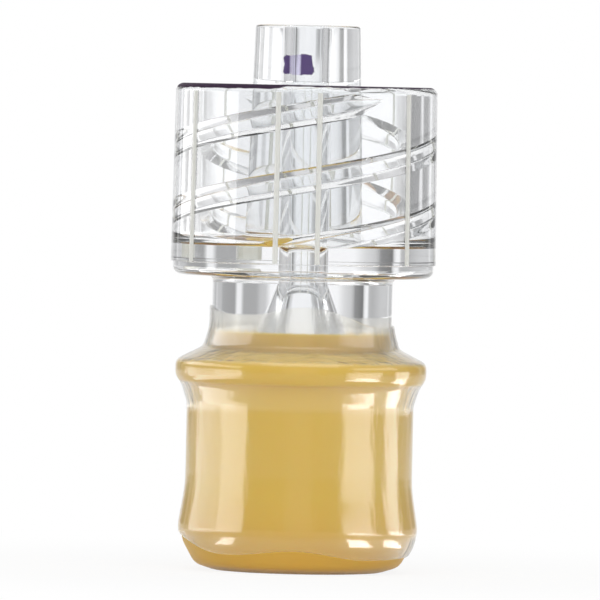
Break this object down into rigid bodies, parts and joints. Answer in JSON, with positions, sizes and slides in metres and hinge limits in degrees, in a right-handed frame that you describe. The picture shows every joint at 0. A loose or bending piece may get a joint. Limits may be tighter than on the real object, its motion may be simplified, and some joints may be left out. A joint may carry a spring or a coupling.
{
  "type": "injection cap",
  "caption": "Clear luer-lock injection cap: male luer tip in a threaded lock collar, and a rubber injection septum on a barrel, held by a shrunk clear film.",
  "frame": {"origin": "centre of the rubber septum's flat base, on the common axis", "axes": "+Z along the common axis from the septum to the luer tip; -Y is the side seen in front; azimuths grow from -Y towards +X"},
  "size_m": [0.01, 0.0102, 0.0207],
  "materials": {
    "clear_polycarbonate": "moulded water-clear polycarbonate, polished",
    "amber_rubber": "smooth moulded natural rubber, amber and slightly translucent",
    "clear_film": "thin glossy clear shrink film"
  },
  "bodies": {
    "root": {"luer_body": "clear_polycarbonate", "septum": "amber_rubber", "shrink_band": "clear_film"}
  },
  "joints": []
}
